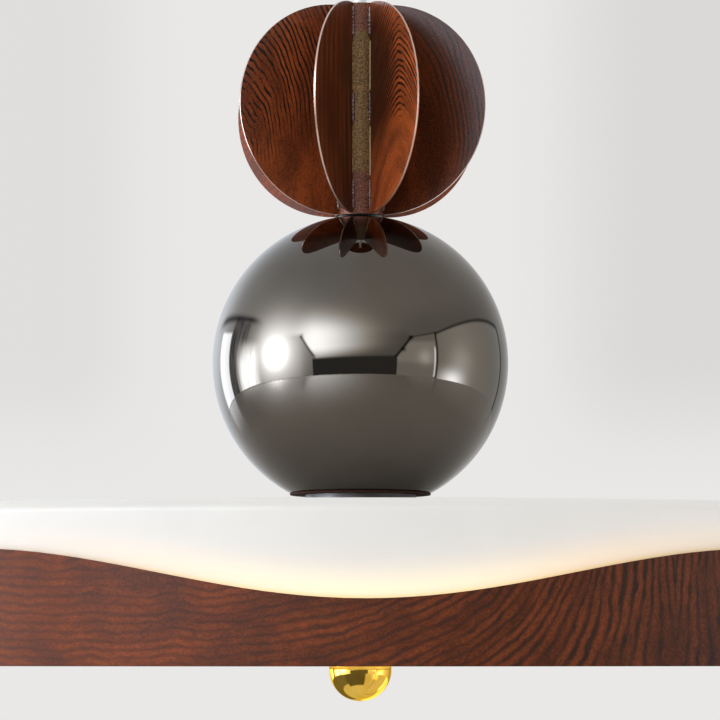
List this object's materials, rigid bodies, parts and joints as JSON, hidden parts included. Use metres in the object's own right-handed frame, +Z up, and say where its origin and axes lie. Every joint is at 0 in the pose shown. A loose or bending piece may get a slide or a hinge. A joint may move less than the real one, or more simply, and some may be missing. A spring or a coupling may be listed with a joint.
{
  "type": "pendant chandelier",
  "caption": "Round ceiling pendant: a wave-edged walnut band round a white opal drum, a smoked mirror ball and a fin cluster on a swivelling rod, with a gold finial below.",
  "frame": {"origin": "on the ceiling plane, midway between the two fixing slots", "axes": "+Z up into the ceiling, -Y towards the viewer of the picture, +X to the viewer's right along the fixing slots"},
  "size_m": [0.816, 0.816, 0.7492],
  "materials": {
    "walnut_print": "satin walnut print",
    "smoked_chrome": "smoked mirror",
    "polished_gold": "polished",
    "aged_bronze": "aged, speckled",
    "copper_brown": "satin",
    "opal_acrylic": "satin opal",
    "white_enamel": "satin",
    "pale_nickel": "satin",
    "zinc_steel": "zinc plated",
    "mill_aluminium": "mill finish",
    "white_plastic": "matte",
    "led_board": "white solder mask",
    "white_lead": "smooth"
  },
  "bodies": {
    "ceiling_mount": {"ceiling_bracket": "zinc_steel", "ceiling_canopy": "walnut_print", "canopy_screws": "polished_gold", "terminal_block": "white_plastic", "terminal_screw": "zinc_steel", "supply_lead": "white_lead", "swivel_washer": "zinc_steel"},
    "swivel": {"swivel_yoke": "pale_nickel", "swivel_nut": "zinc_steel", "knuckle_pin": "pale_nickel"},
    "pendant": {"rod_knuckle": "pale_nickel", "down_rod": "pale_nickel", "lamp_lead": "white_lead", "central_stem": "zinc_steel", "fin_tube": "aged_bronze", "fin_1": "walnut_print", "fin_2": "walnut_print", "fin_3": "walnut_print", "fin_4": "walnut_print", "fin_5": "walnut_print", "fin_6": "walnut_print", "fin_7": "walnut_print", "fin_8": "walnut_print", "fin_plugs": "zinc_steel", "fin_set_screw": "zinc_steel", "mirror_ball": "smoked_chrome", "ball_seat": "copper_brown", "ball_collar": "white_enamel", "shade": "opal_acrylic", "shade_washer": "zinc_steel", "spacer_tube": "zinc_steel", "wave_band": "walnut_print", "band_nuts": "zinc_steel", "chassis": "mill_aluminium", "chassis_washer": "zinc_steel", "chassis_nut": "zinc_steel", "down_light_driver": "white_plastic", "side_light_driver": "white_plastic", "driver_screws": "zinc_steel", "driver_link_lead": "white_lead", "down_light_lead": "white_lead", "side_light_lead": "white_lead", "led_down_board": "led_board", "board_screws": "zinc_steel", "led_side_strip": "led_board", "diffuser_spacer": "zinc_steel"},
    "diffuser_set": {"diffuser": "opal_acrylic", "diffuser_washer": "polished_gold"},
    "finial": {"finial_ball": "polished_gold"}
  },
  "joints": [
    {"name": "stub_turn", "type": "hinge", "parent": "ceiling_mount", "child": "swivel", "pos_m": [0, 0, -0.02], "axis": [0, 0, 1], "range_deg": [-175, 175]},
    {"name": "rod_tilt", "type": "hinge", "parent": "swivel", "child": "pendant", "pos_m": [0, 0, -0.046], "axis": [1, 0, 0], "range_deg": [-40, 40]},
    {"name": "diffuser_drop", "type": "slide", "parent": "pendant", "child": "diffuser_set", "axis": [0, 0, -1], "range_m": [0, 0.0062]},
    {"name": "finial_unscrew", "type": "hinge", "parent": "diffuser_set", "child": "finial", "pos_m": [0, 0, -0.7335], "axis": [0, 0, -1], "range_deg": [0, 1800]}
  ],
  "couplings": [
    {"joint": "finial_unscrew", "follows": "diffuser_drop", "rad_per_m": 5026.5}
  ]
}
